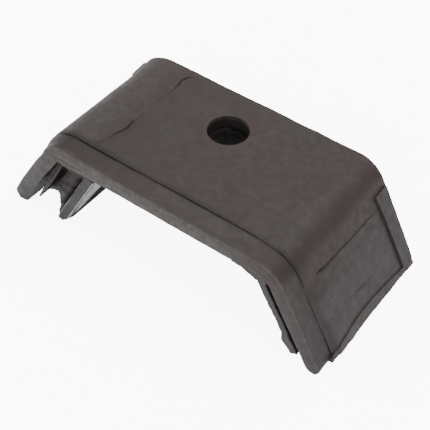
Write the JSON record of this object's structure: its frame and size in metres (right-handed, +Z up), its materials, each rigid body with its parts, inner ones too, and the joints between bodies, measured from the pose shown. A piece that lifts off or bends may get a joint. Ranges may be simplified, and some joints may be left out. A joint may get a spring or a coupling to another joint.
{
  "type": "rubber saddle pad",
  "caption": "Black moulded rubber saddle pad: flat top with a bolt hole, two steep legs, a bead along the front edge and inner walls behind the legs.",
  "frame": {"origin": "centre of the overall box, at the level of the feet that the pad stands on", "axes": "+X along the top towards the right leg, +Y from the beaded front edge to the rear, +Z up through the bolt hole"},
  "size_m": [0.203, 0.0892, 0.0583],
  "materials": {
    "panel_rubber": "matt moulded rubber, brownish black, faint mottling",
    "leg_rubber": "matt moulded rubber, slightly greyer, fine scratches",
    "rim_rubber": "matt moulded rubber with a rubbed front face",
    "inner_rubber": "trimmed and torn rubber, satin where it pulled from the mould"
  },
  "bodies": {
    "root": {"saddle_body": "panel_rubber", "top_cover_ply": "panel_rubber", "left_cover_ply": "panel_rubber", "right_cover_ply": "leg_rubber", "front_rim": "rim_rubber", "rear_strip_left": "leg_rubber", "rear_strip_right": "leg_rubber", "bottom_lip_left": "leg_rubber", "bottom_lip_right": "leg_rubber", "inner_wall_left": "inner_rubber", "inner_wall_right": "inner_rubber", "left_rib": "inner_rubber", "left_web": "inner_rubber", "bore_pad": "inner_rubber"}
  },
  "joints": []
}
